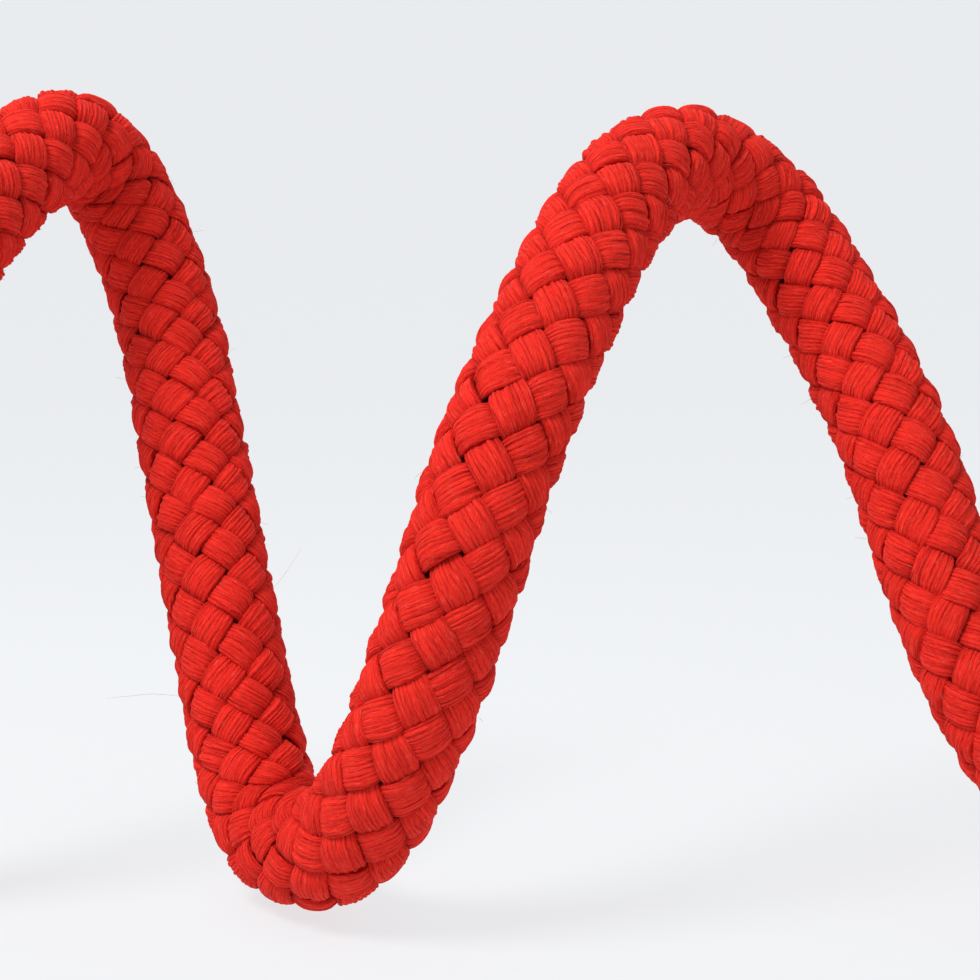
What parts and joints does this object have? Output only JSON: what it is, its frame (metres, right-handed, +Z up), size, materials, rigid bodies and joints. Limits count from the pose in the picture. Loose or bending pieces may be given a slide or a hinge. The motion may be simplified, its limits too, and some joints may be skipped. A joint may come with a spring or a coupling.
{
  "type": "lead rope",
  "caption": "Thick red braided lead rope, folded through the eye of a swivelling bolt snap, standing in a wave with the rest tied in a hank.",
  "frame": {"origin": "on the ground under the middle of the snap, its eye and the crimped fold", "axes": "+X along the rope from the snap's nose towards the hank, +Y across the ground, +Z up"},
  "size_m": [0.8019, 0.1426, 0.1417],
  "materials": {
    "rope": "matte braided yarn",
    "snap_metal": "nickel-plated die casting",
    "plain_steel": "zinc-plated, lightly scuffed",
    "thread": "waxed thread",
    "strap": "woven hook-and-loop strap"
  },
  "bodies": {
    "rope": {"rope_eye": "rope", "crimp_bands": "plain_steel", "cut_end_whipping": "thread", "rope_wave": "rope", "rope_hank": "rope", "hank_ties": "strap", "end_cap": "plain_steel"},
    "eye": {"swivel_eye": "snap_metal", "swivel_washer": "plain_steel"},
    "snap": {"snap_body": "snap_metal", "bolt_spring": "plain_steel"},
    "bolt": {"sliding_bolt": "plain_steel", "thumb_stud": "snap_metal"}
  },
  "joints": [
    {"name": "eye_swing", "type": "hinge", "parent": "rope", "child": "eye", "pos_m": [0.01608, 0.00136, 0.018], "axis": [0, 0, 1], "range_deg": [-60, 60]},
    {"name": "snap_swivel", "type": "hinge", "parent": "eye", "child": "snap", "pos_m": [-0.02246, 0.00136, 0.01449], "axis": [-0.9888, 0, -0.1491], "continuous": true},
    {"name": "bolt_slide", "type": "slide", "parent": "snap", "child": "bolt", "axis": [0.9888, 0, 0.1491], "range_m": [0, 0.012], "stiffness_N_per_m": 250, "springref_m": -0.01, "deforming": ["bolt_spring"]}
  ]
}
